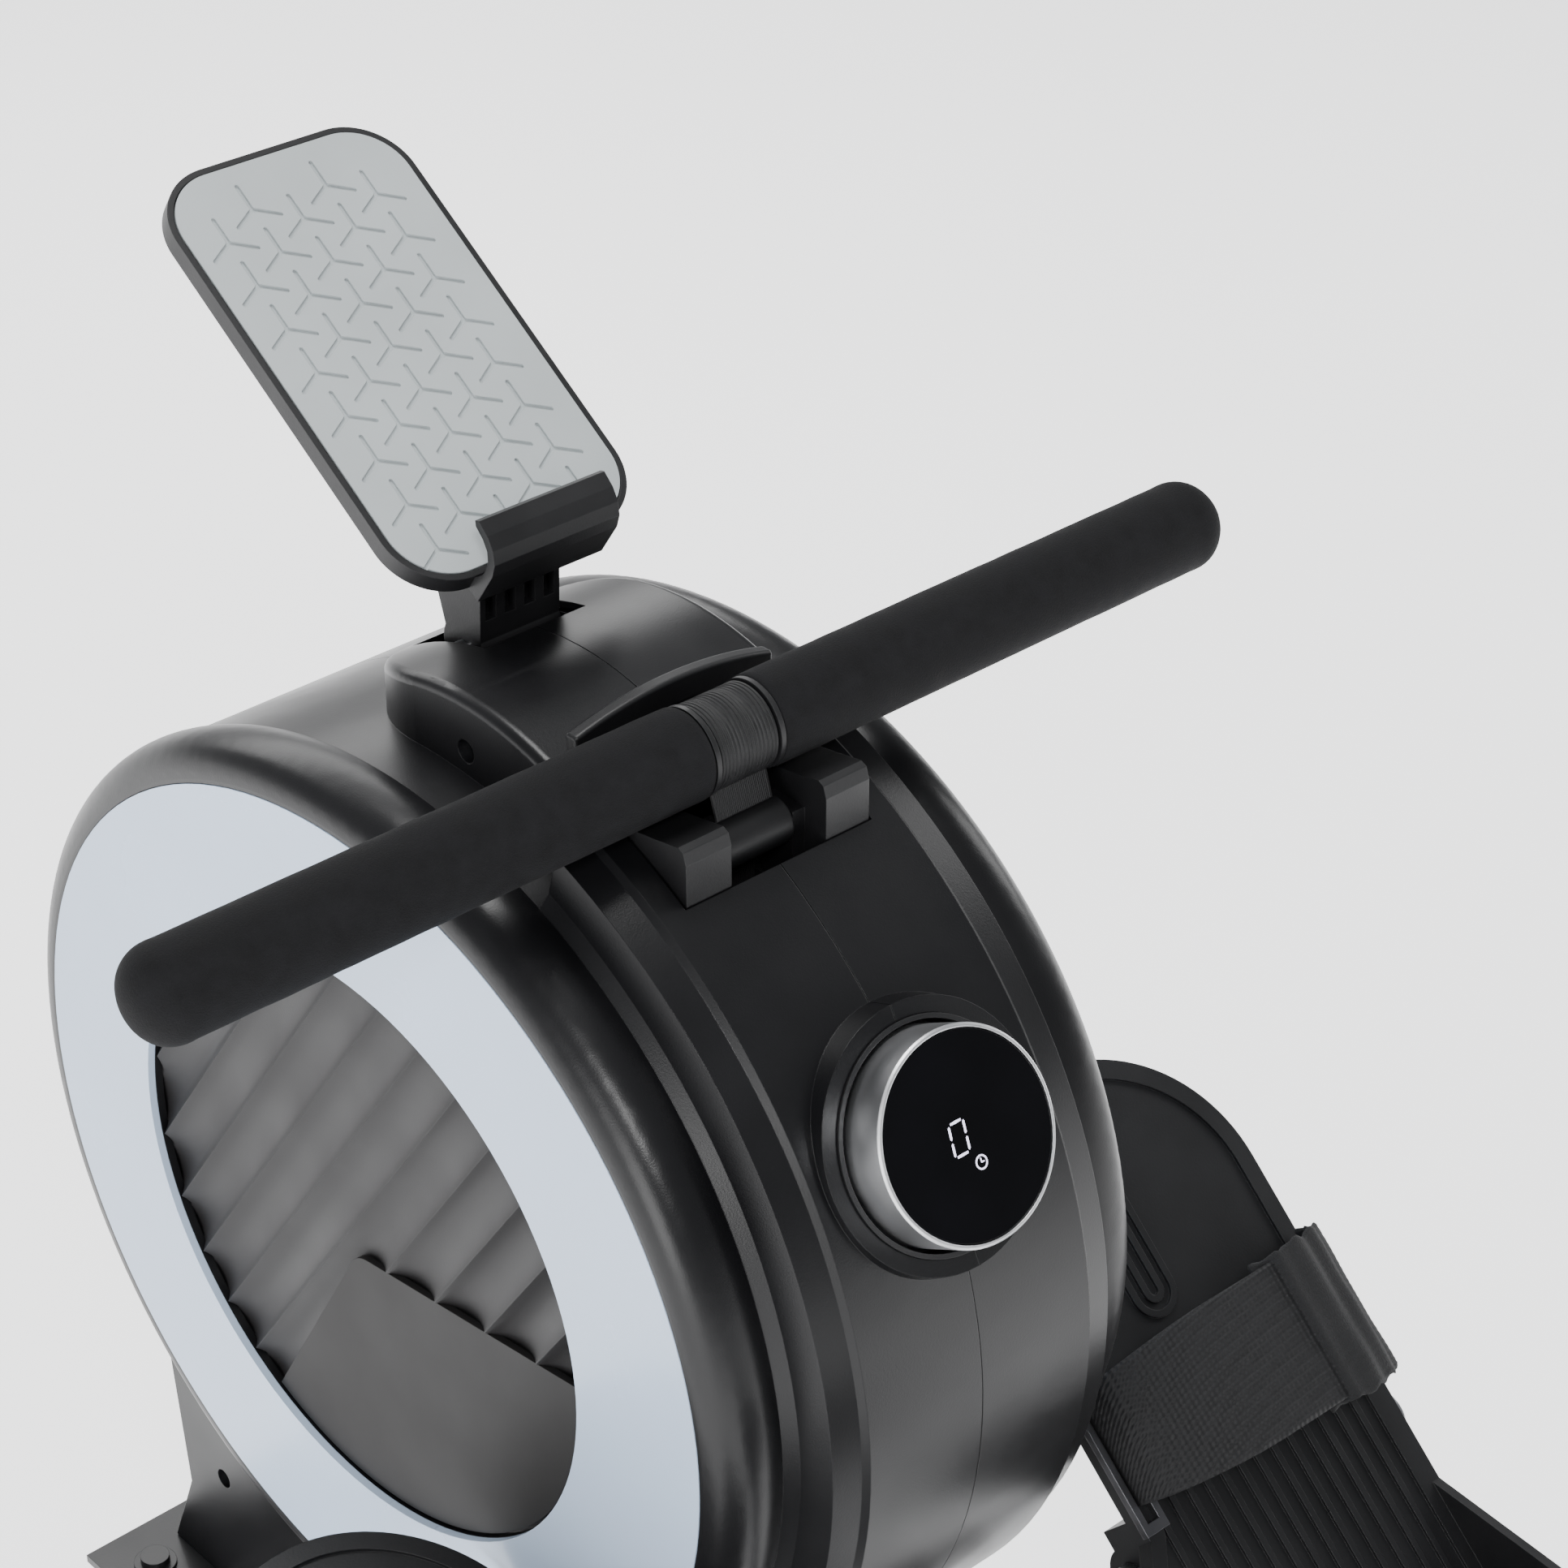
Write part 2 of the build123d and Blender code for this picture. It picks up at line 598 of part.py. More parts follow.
with BuildPart() as flywheel_bearings:
    for side in (1, -1):
        bar_x(11.0, flywheel_y, flywheel_z, side * 4, side * 11)
    bar_x(shaft_r + running, flywheel_y, flywheel_z, -20, 20, mode=Mode.SUBTRACT)
save(flywheel_bearings.part, "flywheel_bearings")


def belt_face(grow):
    """Outline of the belt loop round both pulleys."""
    with BuildSketch(Plane.YZ.offset(34)) as loop:
        with Locations((spool_y, spool_z)):
            Circle(drive_pulley_r + grow)
        with Locations((flywheel_y, flywheel_z)):
            Circle(small_pulley_r + grow)
        make_hull()
    return loop.sketch


with BuildPart() as belt:
    extrude(belt_face(2.8), amount=10)
    extrude(belt_face(0.3), amount=10, mode=Mode.SUBTRACT)
save(belt.part, "belt")

with BuildPart() as spring_case:
    bar_x(45.0, spool_y, spool_z, -34, -54)
    bar_x(43.0, spool_y, spool_z, -36, -52, mode=Mode.SUBTRACT)
    bar_x(13.0, spool_y, spool_z, -30, -37, mode=Mode.SUBTRACT)
    bar_x(shaft_r, spool_y, spool_z, -30, -60, mode=Mode.SUBTRACT)
    for y, z in ((spool_y - 30, spool_z + 10), (spool_y + 30, spool_z - 10)):
        bar_x(5.0, y, z, -plate_out, -34)
save(spring_case.part, "spring_case")

with BuildPart() as rewind_spring:
    with BuildSketch(Plane.YZ.offset(-50)):
        with BuildLine() as coil_line:
            turns = 5
            points = []
            for i in range(turns * 12 + 1):
                radius = 13.0 + 26.0 * i / (turns * 12)
                points.append((spool_y + radius * cos(radians(30 * i)), spool_z + radius * sin(radians(30 * i))))
            Spline(points)
        trace(coil_line.line, line_width=0.8)
    extrude(amount=12)
save(rewind_spring.part, "rewind_spring")

with BuildPart() as brake_bracket:
    with BuildSketch(Plane.YZ.offset(-21.5)) as channel:
        with BuildLine():
            CenterArc((flywheel_y, flywheel_z), 113, 50, 65)
            CenterArc((flywheel_y, flywheel_z), 109, 50, 65)
            for angle in (50, 115):
                c, d = cos(radians(angle)), sin(radians(angle))
                Line((flywheel_y + 109 * c, flywheel_z + 109 * d), (flywheel_y + 113 * c, flywheel_z + 113 * d))
        make_face()
    extrude(channel.sketch, amount=43)
    for side in (1, -1):
        with BuildSketch(Plane.YZ.offset(side * 17.5)) as cheek:
            with BuildLine():
                CenterArc((flywheel_y, flywheel_z), 109, 52, 61)
                CenterArc((flywheel_y, flywheel_z), 94, 52, 61)
                for angle in (52, 113):
                    c, d = cos(radians(angle)), sin(radians(angle))
                    Line((flywheel_y + 94 * c, flywheel_z + 94 * d), (flywheel_y + 109 * c, flywheel_z + 109 * d))
            make_face()
        extrude(cheek.sketch, amount=side * 4)
    side_profile([rel(246, -170), rel(244, -161), rel(252, -157), rel(266, -160), rel(268, -172), rel(258, -177)],
                 -21.5, 21.5)
    bar_x(4.0 + running, pin_y, pin_z, -40, 40, mode=Mode.SUBTRACT)
    bar_x(108.5, flywheel_y, flywheel_z, -17, 17, mode=Mode.SUBTRACT)
save(brake_bracket.part, "brake_bracket")

with BuildPart() as brake_magnets:
    for side in (1, -1):
        for angle in (62, 76, 90, 104):
            c, d = cos(radians(angle)), sin(radians(angle))
            bar_x(6.0, flywheel_y + 101 * c, flywheel_z + 101 * d, side * 15.2, side * 17.5)
save(brake_magnets.part, "brake_magnets")

with BuildPart() as tension_cable:
    with BuildLine() as cable_path:
        FilletPolyline((18, *rel(-92, -118)), (18, *rel(-60, -150)), (18, *rel(60, -150)), (18, *rel(104, -146)), radius=20)
    with BuildSketch(Plane(cable_path.line @ 0, z_dir=cable_path.line % 0)):
        Circle(2.5)
    sweep()
save(tension_cable.part, "tension_cable")

# ---------------------------------------------------------------- beam, rail and stabilisers
tube_half = deck_width / 2
beam_top = beam_bottom + beam_height
rail_top = deck_bottom + rail_height
seat_travel = 800.0
roller_half_base = 62.0
upper_r = wheel_r
lower_r = 12.0
rail_front_y = beam_rear_y - 0.3
with BuildPart() as main_beam:
    box_at(-tube_half, tube_half, beam_rear_y, beam_front_y, beam_bottom, beam_top)
    fillet(main_beam.edges().filter_by(Axis.Y), radius=5)
    box_at(-20, 20, beam_rear_y - 1, beam_front_y + 1, 93.5, beam_top - 3.5, mode=Mode.SUBTRACT)
    # sleeve that plugs into the rail
    box_at(-20, 20, beam_rear_y - 70, beam_rear_y + 70, 93.5, beam_top - 3.5)
    box_at(-17, 17, beam_rear_y - 71, beam_rear_y + 71, 96.5, beam_top - 6.5, mode=Mode.SUBTRACT)
save(main_beam.part, "main_beam")

with BuildPart() as rail:
    box_at(-tube_half, tube_half, rail_rear_y, rail_front_y, deck_bottom, rail_top)
    fillet(rail.edges().filter_by(Axis.Y), radius=4)
    for side in (1, -1):
        box_at(min(side * 23.5, side * 30), max(side * 23.5, side * 30), rail_rear_y - 1, rail_front_y + 1,
               108, 132, mode=Mode.SUBTRACT)
    box_at(-20, 20, rail_rear_y - 1, rail_front_y + 1, deck_bottom + 3.5, rail_top - 3.5, mode=Mode.SUBTRACT)
save(rail.part, "rail")

with BuildPart() as rail_fittings:
    box_at(-tube_half, tube_half, rail_rear_y - 5, rail_rear_y, deck_bottom, rail_top)
    fillet(rail_fittings.edges().filter_by(Axis.Y), radius=4)
    fillet(rail_fittings.faces().sort_by(Axis.Y)[0].edges(), radius=1.5)
    box_at(-19.8, 19.8, rail_rear_y - 0.1, rail_rear_y + 20, deck_bottom + 3.7, rail_top - 3.7)
    box_at(-17, 17, rail_rear_y, rail_rear_y + 21, deck_bottom + 6, rail_top - 6, mode=Mode.SUBTRACT)
    front_stop = seat_y + roller_half_base + upper_r + 1
    rear_stop = seat_y - roller_half_base - upper_r - 1 - seat_travel
    box_at(-20, 20, front_stop, front_stop + 18, rail_top, rail_top + 22)
    box_at(-20, 20, rear_stop - 18, rear_stop, rail_top, rail_top + 22)
save(rail_fittings.part, "rail_fittings")

with BuildPart() as pedal_bracket:
    for side in (1, -1):
        side_profile(
            [rel(-165, -545), rel(-60, -545), rel(-80, -400), rel(-100, -352), rel(-119, -347), rel(-140, -355),
             rel(-155, -420)],
            side * 25.3,
            side * 30,
        )
        bar_x(14.0, pivot_y, pivot_z, side * 30, side * 60)
    bar_x(14.0, pivot_y, pivot_z, -25.3, 25.3)
    box_at(-25.3, 25.3, handle_y - 165, handle_y - 60, 75, 79.5)
    bar_x(8.0, pivot_y, pivot_z, -80, 80, mode=Mode.SUBTRACT)
save(pedal_bracket.part, "pedal_bracket")

with BuildPart() as saddles:
    box_at(-100, 100, front_tube_y - 25, front_tube_y + 25, 86, 90)
    box_at(-24, 24, front_tube_y - 25, front_tube_y - 20, 75, 86)
    for x in (-80, 80):
        with Locations((x, front_tube_y, 90)):
            Cylinder(6.5, 5, align=(Align.CENTER, Align.CENTER, Align.MIN))
            Cylinder(9.5, 1.5, align=(Align.CENTER, Align.CENTER, Align.MIN))
    bar_x(front_tube_r, front_tube_y, front_tube_z, -110, 110, mode=Mode.SUBTRACT)
    box_at(-45, 45, rear_tube_y - 15, rear_tube_y + 15, 70, deck_bottom)
    bar_x(rear_tube_r, rear_tube_y, rear_tube_z, -60, 60, mode=Mode.SUBTRACT)
save(saddles.part, "saddles")

with BuildPart() as stabilisers:
    for r, y, z in ((front_tube_r, front_tube_y, front_tube_z), (rear_tube_r, rear_tube_y, rear_tube_z)):
        bar_x(r, y, z, -stabiliser_half, stabiliser_half)
        bar_x(r - 2.5, y, z, -stabiliser_half - 1, stabiliser_half + 1, mode=Mode.SUBTRACT)
save(stabilisers.part, "stabilisers")

wheel_axle_y = front_tube_y + 60
wheel_axle_z = 32.0
with BuildPart() as end_caps:
    for side in (1, -1):
        side_profile(
            [rel(261, -612), rel(269, -620), rel(325, -620), rel(331, -610), rel(334, -601), rel(367, -598),
             rel(370, -578), rel(340, -560), rel(328, -534), rel(266, -534), rel(261, -542)],
            side * stabiliser_half,
            side * (stabiliser_half + 30),
        )
        side_profile(
            [(rear_tube_y - 32, 8), (rear_tube_y - 24, 0), (rear_tube_y + 24, 0), (rear_tube_y + 32, 8),
             (rear_tube_y + 32, 64), (rear_tube_y + 20, 77), (rear_tube_y - 20, 77), (rear_tube_y - 32, 64)],
            side * stabiliser_half,
            side * (stabiliser_half + 30),
        )
    ends = end_caps.faces().filter_by(Axis.X)
    for face in ends:
        fillet(face.edges(), radius=2.5)
save(end_caps.part, "end_caps")

with BuildPart() as wheel_axles:
    for side in (1, -1):
        bar_x(4.0, wheel_axle_y, wheel_axle_z, side * 181, side * stabiliser_half)
        bar_x(6.5, wheel_axle_y, wheel_axle_z, side * 178, side * 181)
save(wheel_axles.part, "wheel_axles")


def transport_wheel(side, name):
    """Small wheel for rolling the machine when it is tipped up."""
    with BuildPart() as wheel:
        bar_x(25.0, wheel_axle_y, wheel_axle_z, side * 183, side * 201)
        fillet(wheel.edges().filter_by(GeomType.CIRCLE), radius=3)
        for x0, x1 in ((182, 186), (198, 202)):
            bar_x(17.0, wheel_axle_y, wheel_axle_z, side * x0, side * x1, mode=Mode.SUBTRACT)
        bar_x(8.0, wheel_axle_y, wheel_axle_z, side * 183, side * 201)
        bar_x(4.0 + running, wheel_axle_y, wheel_axle_z, side * 180, side * 210, mode=Mode.SUBTRACT)
    save(wheel.part, name)


transport_wheel(1, "transport_wheel_right")
transport_wheel(-1, "transport_wheel_left")

# ---------------------------------------------------------------- seat and its carriage
upper_z = rail_top + 0.3 + upper_r
lower_z = deck_bottom - 0.3 - lower_r
with BuildPart() as seat_carriage:
    for side in (1, -1):
        side_profile(
            [(seat_y - 85, 205), (seat_y - 85, 215), (seat_y + 85, 215), (seat_y + 85, 205), (seat_y + 78, 165),
             (seat_y + 45, 58), (seat_y - 45, 58), (seat_y - 78, 165)],
            side * 33,
            side * 37,
        )
    box_at(-37, 37, seat_y - 85, seat_y + 85, 215, 220)
    for y, z in ((seat_y - roller_half_base, upper_z), (seat_y + roller_half_base, upper_z), (seat_y, lower_z)):
        bar_x(4.0, y, z, -40, 40, mode=Mode.SUBTRACT)
save(seat_carriage.part, "seat_carriage")

with BuildPart() as roller_axles:
    for y, z in ((seat_y - roller_half_base, upper_z), (seat_y + roller_half_base, upper_z), (seat_y, lower_z)):
        bar_x(4.0, y, z, -37, 37)
        for side in (1, -1):
            bar_x(7.5, y, z, side * 37, side * 42)
save(roller_axles.part, "roller_axles")


def roller_pair(radius, y, z, x0, x1, name):
    """Two rollers that share one axle."""
    with BuildPart() as pair:
        for side in (1, -1):
            bar_x(radius, y, z, side * x0, side * x1)
        fillet(pair.edges().filter_by(GeomType.CIRCLE), radius=1.5)
        bar_x(6.5, y, z, -x0, x0)
        bar_x(4.0 + running, y, z, -50, 50, mode=Mode.SUBTRACT)
    save(pair.part, name)


roller_pair(upper_r, seat_y + roller_half_base, upper_z, 10, 22, "front_rollers")
roller_pair(upper_r, seat_y - roller_half_base, upper_z, 10, 22, "rear_rollers")
roller_pair(lower_r, seat_y, lower_z, 8, 22, "lower_rollers")

with BuildPart() as seat_base:
    with BuildSketch(Plane.XY.offset(220)) as base_low:
        with Locations((0, seat_y)):
            RectangleRounded(180, 180, 30)
    with BuildSketch(Plane.XY.offset(250)) as base_high:
        with Locations((0, seat_y)):
            RectangleRounded(290, 230, 60)
    loft([base_low.sketch, base_high.sketch], ruled=True)
save(seat_base.part, "seat_base")

with BuildPart() as seat_cushion:
    with BuildSketch(Plane.XY.offset(250)):
        with Locations((0, seat_y)):
            RectangleRounded(310, 245, 70)
    extrude(amount=seat_top - 250)
    fillet(seat_cushion.edges().group_by(Axis.Z)[-1], radius=20)
    fillet(seat_cushion.edges().group_by(Axis.Z)[0], radius=4)
save(seat_cushion.part, "seat_cushion")

# ---------------------------------------------------------------- pedals
axle_r = 8.0
with BuildPart() as pedal_axle:
    bar_x(axle_r, pivot_y, pivot_z, -244, 244)
    for side in (1, -1):
        bar_x(12.0, pivot_y, pivot_z, side * 244, side * 249)
save(pedal_axle.part, "pedal_axle")


def pedal_outline(side, plane, inset=0.0):
    """Plan of the foot plate: rounded toe, straight outer edge, wider heel."""
    with BuildSketch(plane) as plan:
        for semi, keep in ((76.0, side), (60.0, -side)):
            with BuildSketch(mode=Mode.PRIVATE) as quarter:
                with Locations((side * pedal_x, toe_centre)):
                    Ellipse(semi - inset, toe_reach - inset)
                with Locations((side * pedal_x + keep * 60, toe_centre + 45)):
                    Rectangle(120, 90, mode=Mode.INTERSECT)
            add(quarter.sketch)
        with BuildLine():
            Polyline(
                (side * (240 - inset), toe_centre), (side * (240 - inset), heel_end + 30),
                (side * (210 - inset), heel_end + inset), (side * (122 + inset), heel_end + inset),
                (side * (92 + inset), heel_end + 30), (side * (92 + inset), -8),
                (side * (pedal_inner_x + inset), 12), (side * (pedal_inner_x + inset), toe_centre),
                (side * (240 - inset), toe_centre),
            )
        make_face()
    return plan.sketch


def local_prism(plane, points, x0, x1, mode=Mode.ADD):
    """Prism across the pedal from a profile in the pedal's side view."""
    side_view = Plane(plane.origin + Vector(x0, 0, 0), plane.y_dir, (1, 0, 0))
    extrude(outline(side_view, points), amount=x1 - x0, mode=mode)


def local_box(plane, x0, x1, y0, y1, z0, z1, mode=Mode.ADD):
    """Box in the pedal's own directions."""
    local_prism(plane, [(y0, z0), (y1, z0), (y1, z1), (y0, z1)], x0, x1, mode=mode)


def pedal(side, tilt, word):
    """Foot plate with its hub, heel cup, strap and buckle."""
    plane = tilted(pivot_y, pivot_z, tilt)
    top = plane.offset(pedal_lift)
    with BuildPart() as plate:
        extrude(pedal_outline(side, plane.offset(pedal_lift - plate_thick)), amount=plate_thick)
        extrude(pedal_outline(side, plane.offset(pedal_lift - 1.5), 8.0), amount=3, mode=Mode.SUBTRACT)
        # lengthwise ribs, cut off by a bare field under the toes
        for i in range(16):
            x = side * (96 + i * 9.0)
            reach = -16 if i < 2 else 60 + 8 * (i % 2)
            local_box(plane, x - 1.4, x + 1.4, heel_end + 12, reach, pedal_lift - 1.5, pedal_lift)
        for reach in (12, 24):
            with BuildSketch(plane.offset(pedal_lift - 1.5)) as arch:
                with Locations((side * pedal_x, 120)):
                    SlotOverall(90 - reach, 34 - reach, rotation=90)
                    SlotOverall(84 - reach, 28 - reach, rotation=90, mode=Mode.SUBTRACT)
            extrude(arch.sketch, amount=1.5)
        local_box(plane, side * pedal_x - 60, side * pedal_x + 60, -22, 22, -3, pedal_lift - plate_thick)
        with Locations(Plane((0, pivot_y, pivot_z), x_dir=(0, 1, 0), z_dir=(1, 0, 0))):
            with Locations((0, 0, side * 170)):
                Cylinder(14, 132)
                Cylinder(axle_r + running, 170, mode=Mode.SUBTRACT)

    with BuildPart() as cup:
        extrude(pedal_outline(side, top), amount=45)
        extrude(pedal_outline(side, top.offset(-1), 4.0), amount=50, mode=Mode.SUBTRACT)
        local_prism(
            plane,
            [(-22, 0), (-30, pedal_lift), (-88, pedal_lift + 45), (-88, 150), (300, 150), (300, 0)],
            -300,
            300,
            mode=Mode.SUBTRACT,
        )
        local_box(plane, min(side * 60, side * 104), max(side * 60, side * 104), -112, 0, 0, 150, mode=Mode.SUBTRACT)
    with BuildPart() as whole:
        add(plate.part)
        add(cup.part)
    save(whole.part, f"pedal_{word}")

    with BuildPart() as strap:
        with BuildSketch(Plane(plane.origin + plane.y_dir * 80, plane.x_dir, -plane.y_dir)):
            with BuildLine() as arch_line:
                h = pedal_lift
                Spline(
                    (side * 107, h), (side * 113, h + 17), (side * 138, h + 27), (side * 170, h + 32),
                    (side * 206, h + 33), (side * 228, h + 22), (side * 235, h),
                )
            trace(arch_line.line, line_width=2.6)
        extrude(amount=60)
        local_box(plane, -300, 300, 0, 100, 0, pedal_lift, mode=Mode.SUBTRACT)
    save(strap.part, f"foot_strap_{word}")

    with BuildPart() as buckle:
        lo, hi = sorted((side * 101.5, side * 113.5))
        local_box(plane, lo, hi, 14, 86, pedal_lift, pedal_lift + 3.5)
        lo, hi = sorted((side * 104.5, side * 110.5))
        local_box(plane, lo, hi, 18.5, 81.5, pedal_lift - 1, pedal_lift + 5, mode=Mode.SUBTRACT)
    save(buckle.part, f"strap_buckle_{word}")


pedal(1, right_tilt, "right")
pedal(-1, left_tilt, "left")
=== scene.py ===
import json
import math

import bmesh
import bpy
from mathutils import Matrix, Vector, noise


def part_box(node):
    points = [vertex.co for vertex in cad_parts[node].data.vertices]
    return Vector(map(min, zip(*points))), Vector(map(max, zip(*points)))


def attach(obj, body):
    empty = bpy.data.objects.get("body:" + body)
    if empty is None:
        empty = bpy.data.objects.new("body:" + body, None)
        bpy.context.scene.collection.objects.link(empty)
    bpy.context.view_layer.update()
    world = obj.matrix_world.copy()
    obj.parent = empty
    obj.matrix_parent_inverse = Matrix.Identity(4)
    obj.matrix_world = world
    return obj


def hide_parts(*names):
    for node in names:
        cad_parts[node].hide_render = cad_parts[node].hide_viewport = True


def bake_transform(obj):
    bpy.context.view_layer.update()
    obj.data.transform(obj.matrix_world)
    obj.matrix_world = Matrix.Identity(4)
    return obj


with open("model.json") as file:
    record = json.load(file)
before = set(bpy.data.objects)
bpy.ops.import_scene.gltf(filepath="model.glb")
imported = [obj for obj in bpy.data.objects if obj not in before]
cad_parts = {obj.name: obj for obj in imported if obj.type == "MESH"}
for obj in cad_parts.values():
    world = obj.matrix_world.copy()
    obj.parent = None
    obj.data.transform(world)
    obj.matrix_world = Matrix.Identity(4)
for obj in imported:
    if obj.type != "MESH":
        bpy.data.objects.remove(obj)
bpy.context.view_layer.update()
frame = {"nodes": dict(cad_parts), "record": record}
scene = bpy.context.scene
nodes = frame["nodes"]


# ---------------------------------------------------------------- materials
def surface(name, colour, rough, metal=0.0, vary=0.15, patch=25.0, grain=900.0, depth=0.00008,
            stretch=(1, 1, 1), rough_vary=0.07, edge=0.0005, specular=0.5, sheen=0.0, coat=0.0):
    """Principled material with patchy colour and roughness, a fine bump grain and rounded edges."""
    mat = bpy.data.materials.new(name)
    mat.use_nodes = True
    tree = mat.node_tree
    link = tree.links.new
    bsdf = tree.nodes["Principled BSDF"]
    bsdf.inputs["Metallic"].default_value = metal
    bsdf.inputs["Specular IOR Level"].default_value = specular
    bsdf.inputs["Sheen Weight"].default_value = sheen
    bsdf.inputs["Coat Weight"].default_value = coat
    bsdf.inputs["Coat Roughness"].default_value = 0.12
    coords = tree.nodes.new("ShaderNodeTexCoord")
    mapping = tree.nodes.new("ShaderNodeMapping")
    mapping.inputs["Scale"].default_value = stretch
    link(coords.outputs["Object"], mapping.inputs["Vector"])

    broad = tree.nodes.new("ShaderNodeTexNoise")
    broad.inputs["Scale"].default_value = patch
    broad.inputs["Detail"].default_value = 6.0
    link(mapping.outputs["Vector"], broad.inputs["Vector"])
    fine = tree.nodes.new("ShaderNodeTexNoise")
    fine.inputs["Scale"].default_value = grain
    fine.inputs["Detail"].default_value = 2.0
    link(mapping.outputs["Vector"], fine.inputs["Vector"])

    ramp = tree.nodes.new("ShaderNodeValToRGB")
    ramp.color_ramp.elements[0].position = 0.3
    ramp.color_ramp.elements[1].position = 0.7
    ramp.color_ramp.elements[0].color = [c * (1 - vary) for c in colour] + [1]
    ramp.color_ramp.elements[1].color = [min(1, c * (1 + vary)) for c in colour] + [1]
    link(broad.outputs["Fac"], ramp.inputs["Fac"])
    link(ramp.outputs["Color"], bsdf.inputs["Base Color"])

    spread = tree.nodes.new("ShaderNodeMapRange")
    spread.inputs["From Min"].default_value = 0.25
    spread.inputs["From Max"].default_value = 0.75
    spread.inputs["To Min"].default_value = max(0.03, rough - rough_vary)
    spread.inputs["To Max"].default_value = min(1.0, rough + rough_vary)
    link(broad.outputs["Fac"], spread.inputs["Value"])
    link(spread.outputs["Result"], bsdf.inputs["Roughness"])

    bump = tree.nodes.new("ShaderNodeBump")
    bump.inputs["Strength"].default_value = 0.6
    bump.inputs["Distance"].default_value = depth
    link(fine.outputs["Fac"], bump.inputs["Height"])
    if edge:
        rounded = tree.nodes.new("ShaderNodeBevel")
        rounded.samples = 4
        rounded.inputs["Radius"].default_value = edge
        link(rounded.outputs["Normal"], bump.inputs["Normal"])
    link(bump.outputs["Normal"], bsdf.inputs["Normal"])
    return mat


wave_period = 0.314   # metres between the bands of a wave texture at scale 1


def add_weave(mat, depth, threads):
    """Lays regular threads, given as (axis, pitch), over a surface() material's own grain."""
    tree = mat.node_tree
    link = tree.links.new
    bump = next(n for n in tree.nodes if n.type == "BUMP")
    coords = next(n for n in tree.nodes if n.type == "TEX_COORD")
    normal = bump
    for direction, pitch in threads:
        wave = tree.nodes.new("ShaderNodeTexWave")
        wave.bands_direction = direction
        wave.inputs["Scale"].default_value = wave_period / pitch
        wave.inputs["Distortion"].default_value = 0.6
        wave.inputs["Detail"].default_value = 1.0
        link(coords.outputs["Object"], wave.inputs["Vector"])
        extra = tree.nodes.new("ShaderNodeBump")
        extra.inputs["Strength"].default_value = 0.8
        extra.inputs["Distance"].default_value = depth
        link(wave.outputs["Fac"], extra.inputs["Height"])
        link(normal.outputs["Normal"], extra.inputs["Normal"])
        normal = extra
    link(normal.outputs["Normal"], tree.nodes["Principled BSDF"].inputs["Normal"])


shell = surface("shell_black", (0.006, 0.006, 0.007), 0.33, patch=14, grain=1400, depth=0.00006, vary=0.2,
                specular=0.42)
ring_white = surface("ring_pale_blue", (0.62, 0.76, 0.96), 0.25, patch=9, grain=500, depth=0.00002, vary=0.03,
                     rough_vary=0.05, coat=0.3)
panel = surface("panel_charcoal", (0.017, 0.016, 0.017), 0.52, patch=20, grain=1500, depth=0.00007)
badge = surface("badge_charcoal", (0.014, 0.013, 0.013), 0.55, patch=16, grain=1100, depth=0.00003,
                specular=0.35)
moulded = surface("moulded_black", (0.008, 0.008, 0.009), 0.45, patch=30, grain=1100, depth=0.00007)
paint = surface("frame_paint", (0.010, 0.010, 0.011), 0.36, patch=18, grain=700, depth=0.00005, coat=0.15)
rail_metal = surface("rail_metal", (0.60, 0.61, 0.63), 0.3, metal=1.0, patch=6, grain=900, depth=0.00002,
                     stretch=(1, 0.02, 1), vary=0.08)
steel = surface("axle_steel", (0.52, 0.53, 0.55), 0.28, metal=1.0, patch=60, grain=900, depth=0.00003)
foam = surface("foam_black", (0.009, 0.009, 0.010), 0.85, patch=120, grain=1700, depth=0.0005, vary=0.35,
               rough_vary=0.1, edge=0.0, specular=0.2)
webbing = surface("webbing_black", (0.009, 0.009, 0.010), 0.55, patch=200, grain=2500, depth=0.0002,
                  vary=0.3, edge=0.0, specular=0.5)
add_weave(webbing, 0.0002, [("X", 0.0008)])
silver = surface("knob_silver", (0.90, 0.91, 0.93), 0.34, metal=1.0, patch=30, grain=900, depth=0.00002,
                 vary=0.05, edge=0.0006)
glass = surface("display_glass", (0.002, 0.002, 0.003), 0.07, patch=30, grain=60, depth=0.000003, vary=0.3,
                rough_vary=0.03, specular=0.22)
board = surface("circuit_green", (0.02, 0.12, 0.05), 0.4, patch=250, grain=1200)
insert = surface("insert_grey", (0.50, 0.54, 0.55), 0.6, patch=20, grain=1300, depth=0.00008, vary=0.05)
iron = surface("flywheel_iron", (0.30, 0.29, 0.28), 0.45, metal=1.0, patch=40, grain=500, depth=0.0002)
drive = surface("drive_steel", (0.40, 0.41, 0.43), 0.38, metal=1.0, patch=40)
nylon = surface("pulley_nylon", (0.010, 0.010, 0.011), 0.5, patch=40)
rubber = surface("belt_rubber", (0.018, 0.018, 0.018), 0.75, patch=60, grain=1000, depth=0.0001)
spring = surface("spring_steel", (0.35, 0.36, 0.38), 0.3, metal=1.0)
magnet = surface("magnet_nickel", (0.62, 0.60, 0.56), 0.22, metal=1.0)
sleeve = surface("cable_sleeve", (0.02, 0.02, 0.022), 0.5, patch=80)
leather = surface("cushion_black", (0.018, 0.018, 0.019), 0.5, patch=22, grain=420, depth=0.0004, vary=0.25,
                  edge=0.0, sheen=0.1)
thread = surface("seam_thread", (0.05, 0.05, 0.052), 0.7, patch=300, grain=2500, depth=0.0001, edge=0.0)
white_roller = surface("roller_white", (0.72, 0.72, 0.70), 0.4, patch=50)
